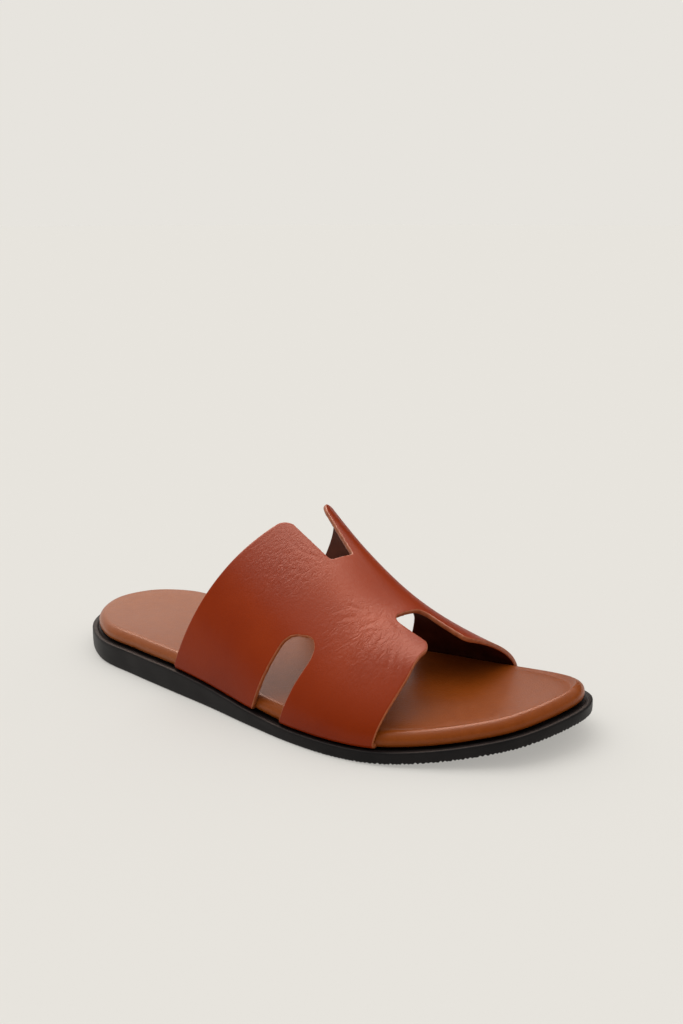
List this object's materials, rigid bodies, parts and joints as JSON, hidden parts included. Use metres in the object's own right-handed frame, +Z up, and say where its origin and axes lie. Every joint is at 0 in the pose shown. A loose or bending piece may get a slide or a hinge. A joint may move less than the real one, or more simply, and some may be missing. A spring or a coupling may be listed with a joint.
{
  "type": "slide sandal",
  "caption": "Open-toe, open-back slide sandal for the right foot: thin rubber outsole, leather footbed and a one-piece leather strap with cut-outs.",
  "frame": {"origin": "middle of the sandal's bounding box in plan, on the ground under the outsole", "axes": "+X from heel to toe, +Y towards the medial (big toe) side, +Z up"},
  "size_m": [0.285, 0.1144, 0.0828],
  "materials": {
    "outsole": "satin black rubber",
    "footbed": "smooth caramel leather, satin",
    "upper": "smooth cognac leather, satin gloss"
  },
  "bodies": {
    "root": {"outsole": "outsole", "footbed": "footbed", "upper": "upper"}
  },
  "joints": []
}
